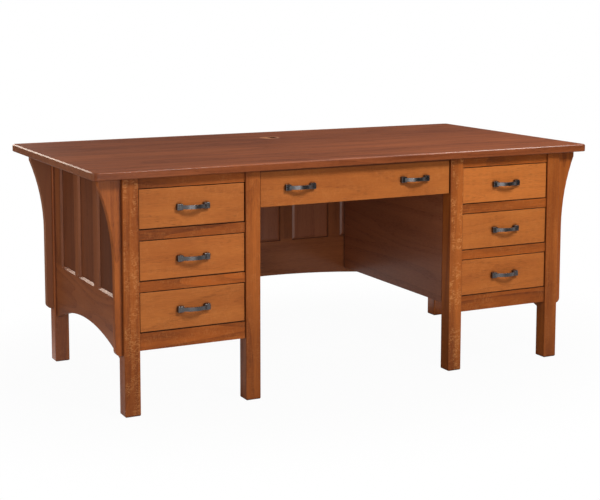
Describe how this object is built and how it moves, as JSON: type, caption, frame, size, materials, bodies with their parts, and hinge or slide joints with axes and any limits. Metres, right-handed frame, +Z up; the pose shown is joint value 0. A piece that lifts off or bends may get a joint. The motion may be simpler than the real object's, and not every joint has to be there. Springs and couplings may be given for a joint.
{
  "type": "pedestal desk",
  "caption": "Wide wooden pedestal desk with drawer pedestals, a shallow drawer over the kneehole, recessed-panel sides and back, curved corbels and a cable grommet in the top.",
  "frame": {"origin": "on the floor under the middle of the top", "axes": "+X along the desk to the right as seen from the drawer side, +Y from the drawer side to the back, +Z up"},
  "size_m": [1.8288, 0.9144, 0.7652],
  "materials": {
    "top_oak": "satin brown stain, grain along the length",
    "grommet_wood": "satin brown stain",
    "leg_oak": "satin brown stain, upright grain with flecks",
    "frame_oak": "satin brown stain",
    "panel_oak": "satin brown stain, upright grain",
    "drawer_front_oak": "satin orange-brown stain, level grain",
    "inside_wood": "clear matt lacquer",
    "pull_metal": "dark satin metal",
    "slide_steel": "zinc plated"
  },
  "bodies": {
    "desk": {"desk_top": "top_oak", "grommet_ring": "grommet_wood", "left_outer_front_leg": "leg_oak", "left_inner_front_leg": "leg_oak", "left_back_leg": "leg_oak", "right_outer_front_leg": "leg_oak", "right_inner_front_leg": "leg_oak", "right_back_leg": "leg_oak", "corbels": "frame_oak", "side_top_rails": "frame_oak", "side_arched_rails": "frame_oak", "side_stiles": "frame_oak", "side_mullions": "frame_oak", "back_top_rail": "frame_oak", "back_arched_rail": "frame_oak", "back_stiles": "frame_oak", "back_mullions": "frame_oak", "front_bottom_rails": "frame_oak", "front_middle_rails": "frame_oak", "front_top_rails": "frame_oak", "side_panels": "panel_oak", "back_panels": "panel_oak", "inner_sides": "panel_oak", "pedestal_floors": "inside_wood", "outer_slide_cleats": "inside_wood", "inner_slide_cleats": "inside_wood", "top_cleats": "inside_wood", "top_screws": "slide_steel", "pedestal_slide_channels": "slide_steel", "center_slide_channels": "slide_steel"},
    "grommet_cap": {"grommet_cap": "grommet_wood"},
    "left_lower_drawer": {"left_lower_drawer_front": "drawer_front_oak", "left_lower_drawer_box": "inside_wood", "left_lower_drawer_pull": "pull_metal", "left_lower_drawer_runners": "slide_steel"},
    "left_middle_drawer": {"left_middle_drawer_front": "drawer_front_oak", "left_middle_drawer_box": "inside_wood", "left_middle_drawer_pull": "pull_metal", "left_middle_drawer_runners": "slide_steel"},
    "left_upper_drawer": {"left_upper_drawer_front": "drawer_front_oak", "left_upper_drawer_box": "inside_wood", "left_upper_drawer_pull": "pull_metal", "left_upper_drawer_runners": "slide_steel"},
    "right_lower_drawer": {"right_lower_drawer_front": "drawer_front_oak", "right_lower_drawer_box": "inside_wood", "right_lower_drawer_pull": "pull_metal", "right_lower_drawer_runners": "slide_steel"},
    "right_middle_drawer": {"right_middle_drawer_front": "drawer_front_oak", "right_middle_drawer_box": "inside_wood", "right_middle_drawer_pull": "pull_metal", "right_middle_drawer_runners": "slide_steel"},
    "right_upper_drawer": {"right_upper_drawer_front": "drawer_front_oak", "right_upper_drawer_box": "inside_wood", "right_upper_drawer_pull": "pull_metal", "right_upper_drawer_runners": "slide_steel"},
    "center_drawer": {"center_drawer_front": "drawer_front_oak", "center_drawer_box": "inside_wood", "center_drawer_pulls": "pull_metal", "center_drawer_runners": "slide_steel"}
  },
  "joints": [
    {"name": "left_lower_drawer_slide", "type": "slide", "parent": "desk", "child": "left_lower_drawer", "axis": [0, -1, 0], "range_m": [0, 0.41]},
    {"name": "left_middle_drawer_slide", "type": "slide", "parent": "desk", "child": "left_middle_drawer", "axis": [0, -1, 0], "range_m": [0, 0.41]},
    {"name": "left_upper_drawer_slide", "type": "slide", "parent": "desk", "child": "left_upper_drawer", "axis": [0, -1, 0], "range_m": [0, 0.41]},
    {"name": "right_lower_drawer_slide", "type": "slide", "parent": "desk", "child": "right_lower_drawer", "axis": [0, -1, 0], "range_m": [0, 0.41]},
    {"name": "right_middle_drawer_slide", "type": "slide", "parent": "desk", "child": "right_middle_drawer", "axis": [0, -1, 0], "range_m": [0, 0.41]},
    {"name": "right_upper_drawer_slide", "type": "slide", "parent": "desk", "child": "right_upper_drawer", "axis": [0, -1, 0], "range_m": [0, 0.41]},
    {"name": "center_drawer_slide", "type": "slide", "parent": "desk", "child": "center_drawer", "axis": [0, -1, 0], "range_m": [0, 0.33]},
    {"name": "grommet_cap_turn", "type": "hinge", "parent": "desk", "child": "grommet_cap", "pos_m": [0, 0.2472, 0.7652], "axis": [0, 0, 1], "continuous": true}
  ]
}
